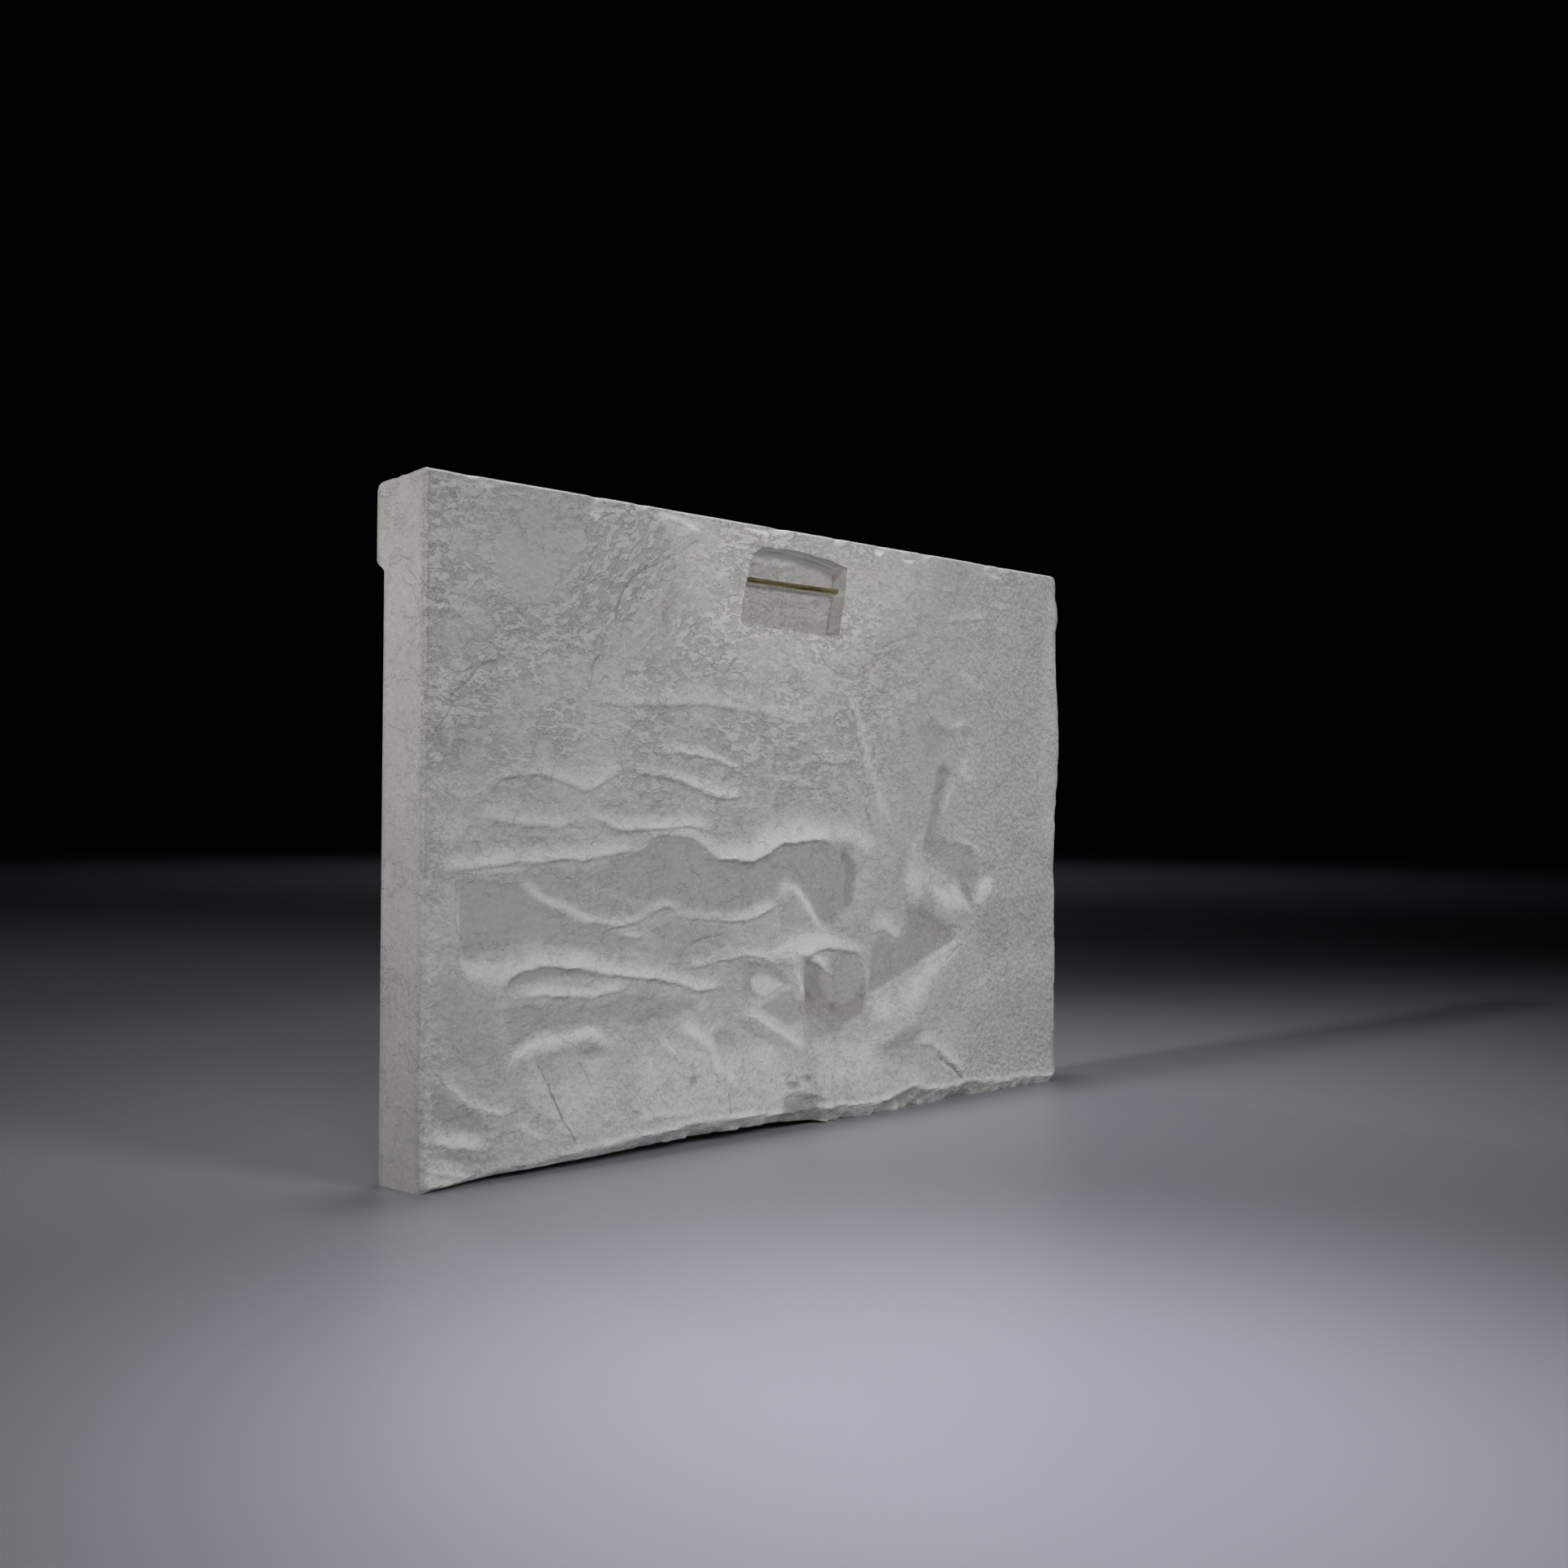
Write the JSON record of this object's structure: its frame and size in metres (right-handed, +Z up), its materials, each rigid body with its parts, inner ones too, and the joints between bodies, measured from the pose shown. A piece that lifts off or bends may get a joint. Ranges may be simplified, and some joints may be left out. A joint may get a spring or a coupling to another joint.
{
  "type": "plaster bas-relief",
  "caption": "Rectangular plaster wall relief with a hung cloth on its front, a rough hollowed back and a brass rod across a sunk pocket to hang it by.",
  "frame": {"origin": "middle of the hanging rod, on its axis", "axes": "+Z up, the relief faces -Y, the wall side is +Y, X along the rod and the width"},
  "size_m": [0.5545, 0.0555, 0.36],
  "materials": {
    "plaster": "matt cast plaster, grey-white",
    "brass": "dull aged"
  },
  "bodies": {
    "root": {"plaster_relief": "plaster", "hanging_rod": "brass"}
  },
  "joints": []
}
